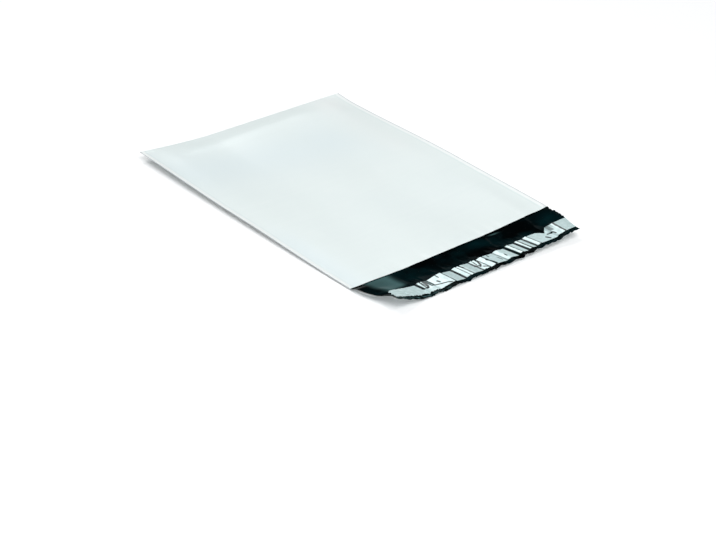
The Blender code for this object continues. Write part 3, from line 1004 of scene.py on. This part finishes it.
def linerPlaces(places):  # slanted and torn at the left end, dented at the notch, ragged on the outer left
    share = np.linspace(0.0, 1.0, bandValues["linerRows"] + 1)[:, None]
    first, last = bandValues["linerLeftCut"]
    torn = bandValues["teeth"] * np.abs((share * bandValues["teethCount"]) % 2 - 1)
    cut = first + (last - first) * share + torn
    inward = (places[None, :] + halfWidth) / bandValues["leftCutReach"]
    place = places[None, :] + cut * smooth(1 - inward) * (1 - inward)
    end, run = bandValues["raggedEnd"]
    trimEnd, trim = bandValues["raggedTrim"]
    ragged = softWaves(places, 0 * places, waveSeeds["raggedEdge"], *bandValues["raggedWaves"])
    ragged = ragged * smooth((end - places) / run) - trim * (places < trimEnd)
    width = bandValues["linerWidth"] + bandValues["raggedEdge"] * ragged[None, :] * share ** 2
    return np.broadcast_arrays(place, -linerStart - width * share - notchDip(places)[None, :] * (1 - share))


def linerCrinkle(place, along):  # fine crinkles, strongest at the handled left end
    least, most = bandValues["crinkleDepths"]
    start, end = bandValues["crinkledEnd"]
    depth = least + (most - least) * smooth((start - place) / (start - end))
    stretched = place * bandValues["crinkleStretch"]
    return depth * softWaves(stretched, along, waveSeeds["linerCrinkle"], *bandValues["crinkleWaves"])


def makeLiner(material):
    place, along = linerPlaces(acrossPlaces(bandValues["linerSpacing"], bandValues["linerEndInset"]))
    crease = creaseMask(place, along)
    points = filmPoints(place, along, bandValues["linerAbove"])
    dip = bandValues["creaseDepth"] * crease - linerCrinkle(place, along)
    points[..., 2] -= np.minimum(dip, bandValues["deepestDip"])
    mesh, _, _ = gridMesh("peelLiner", points[::-1])
    # where the painted crease shade goes
    addAttribute(mesh, "crease", crease[::-1])
    # where the painted facet shade goes
    addAttribute(mesh, "shade", facetShade(place, along)[::-1])
    piece = addPiece("peelLiner", mesh, (material,))
    thicken(piece, bandValues["linerThickness"])
    finishShading(piece, bandValues["sharpAngle"])
    return piece


def makeGlueBand(material):
    places = acrossPlaces(bandValues["glueSpacing"], bandValues["glueEndInset"])
    rows = evenSteps(-glueStart, -glueStart - bandValues["glueWidth"], bandValues["glueRows"])
    deepest = np.maximum(notchDip(places) - (glueStart - linerStart) + bandValues["glueFromNotch"], 0.0)
    lines = [filmPoints(places, np.minimum(along, -glueStart - deepest), bandValues["glueAbove"])
             for along in reversed(rows)]
    mesh, _, _ = gridMesh("glueBand", np.array(lines))
    piece = addPiece("glueBand", mesh, (material,))
    thicken(piece, bandValues["glueThickness"])
    finishShading(piece, bandValues["sharpAngle"])
    return piece


glueStart = linerStart + (bandValues["linerWidth"] - bandValues["glueWidth"]) / 2
peelLiner = makeLiner(makeLinerFilm())
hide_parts("release_liner")
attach(peelLiner, "root")
glueBand = makeGlueBand(makeGlue())
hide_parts("adhesive_strip")
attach(glueBand, "root")
print("bands made,", len(peelLiner.data.polygons), "liner faces")


# floor, world, lamps and camera
studio = {
    "floorSize": 9.0,
    "floorColour": (0.90, 0.905, 0.91, 1.0),
    "floorGlow": 0.13,
    "worldStrength": 1.0,
    "worldStops": ((0.0, 0.30), (0.08, 0.22), (0.18, 0.04), (0.56, 0.03), (0.68, 0.30), (1.0, 0.80)),
    "worldTint": (1.0, 1.01, 1.02),
    "keyPlace": (-0.35, -1.0, 1.6),
    "keySize": (1.6, 1.2),
    "keyPower": 23.0,
    "backPlace": (0.316, 1.790, 1.950),
    "backSize": (2.13, 1.13),
    "backPower": 28.0,
}


def makeFloor():
    bpy.ops.mesh.primitive_plane_add(size=studio["floorSize"], location=(0, 0, 0))
    floor = bpy.context.object
    floor.name = "studioFloor"
    material = bpy.data.materials.new("studioFloor")
    material.use_nodes = True
    tree = material.node_tree
    tree.nodes.clear()
    paper = addNode(tree, "ShaderNodeBsdfDiffuse", {"Color": studio["floorColour"]})
    rays = addNode(tree, "ShaderNodeLightPath").outputs
    seen = math2(tree, "MAXIMUM", rays["Is Camera Ray"],
                 math2(tree, "MAXIMUM", rays["Is Glossy Ray"], rays["Is Transmission Ray"]))
    strength = math2(tree, "MULTIPLY", seen, studio["floorGlow"])
    glow = addNode(tree, "ShaderNodeEmission", {"Color": (1, 1, 1, 1), "Strength": strength})
    both = addNode(tree, "ShaderNodeAddShader", {0: paper.outputs[0], 1: glow.outputs[0]})
    result = addNode(tree, "ShaderNodeOutputMaterial")
    tree.links.new(both.outputs[0], result.inputs["Surface"])
    floor.data.materials.append(material)


def makeWorld():  # bright low down, dark at middle height, paler overhead, as in a small studio
    world = bpy.data.worlds.new("studio")
    world.use_nodes = True
    bpy.context.scene.world = world
    tree = world.node_tree
    background = tree.nodes["Background"]
    direction = addNode(tree, "ShaderNodeTexCoord").outputs["Generated"]
    height = addNode(tree, "ShaderNodeSeparateXYZ", {"Vector": direction}).outputs["Z"]
    ramp = addNode(tree, "ShaderNodeValToRGB", {"Fac": height})
    stops = studio["worldStops"]
    while len(ramp.color_ramp.elements) < len(stops):
        ramp.color_ramp.elements.new(0.5)
    for element, (place, grey) in zip(ramp.color_ramp.elements, stops):
        element.position = place
        element.color = [grey * tint for tint in studio["worldTint"]] + [1.0]
    tree.links.new(ramp.outputs["Color"], background.inputs["Color"])
    background.inputs["Strength"].default_value = studio["worldStrength"]


def addLamp(name, place, size, power):  # an area lamp that faces the middle of the floor
    light = bpy.data.lights.new(name, "AREA")
    light.shape = "RECTANGLE"
    light.size, light.size_y = size
    light.energy = power
    lamp = bpy.data.objects.new(name, light)
    lamp.location = place
    lamp.rotation_euler = (-Vector(place)).to_track_quat("-Z", "Y").to_euler()
    bpy.context.scene.collection.objects.link(lamp)


cameraValues = {
    "azimuth": 38.16,
    "elevation": 29.8,
    "fromPocketMiddle": (-0.9679, -1.2562, 0.8201),
    "lens": 100.13,
    "sensorWidth": 36.0,
    "clipping": (0.05, 50.0),
}


def makeCamera():
    data = bpy.data.cameras.new("camera")
    data.lens = cameraValues["lens"]
    data.sensor_width = cameraValues["sensorWidth"]
    data.clip_start, data.clip_end = cameraValues["clipping"]
    camera = bpy.data.objects.new("camera", data)
    pocketMiddle = Vector((0, mouthY + bagShape["pocketLength"] / 2, 0))
    camera.location = pocketMiddle + Vector(cameraValues["fromPocketMiddle"])
    camera.rotation_euler = (math.radians(90 - cameraValues["elevation"]), 0,
                             math.radians(-cameraValues["azimuth"]))
    bpy.context.scene.collection.objects.link(camera)
    bpy.context.scene.camera = camera


makeFloor()
makeWorld()
addLamp("keySoftbox", studio["keyPlace"], studio["keySize"], studio["keyPower"])
addLamp("backSoftbox", studio["backPlace"], studio["backSize"], studio["backPower"])
makeCamera()
bpy.context.scene.view_settings.view_transform = "Standard"
print("studio ready")
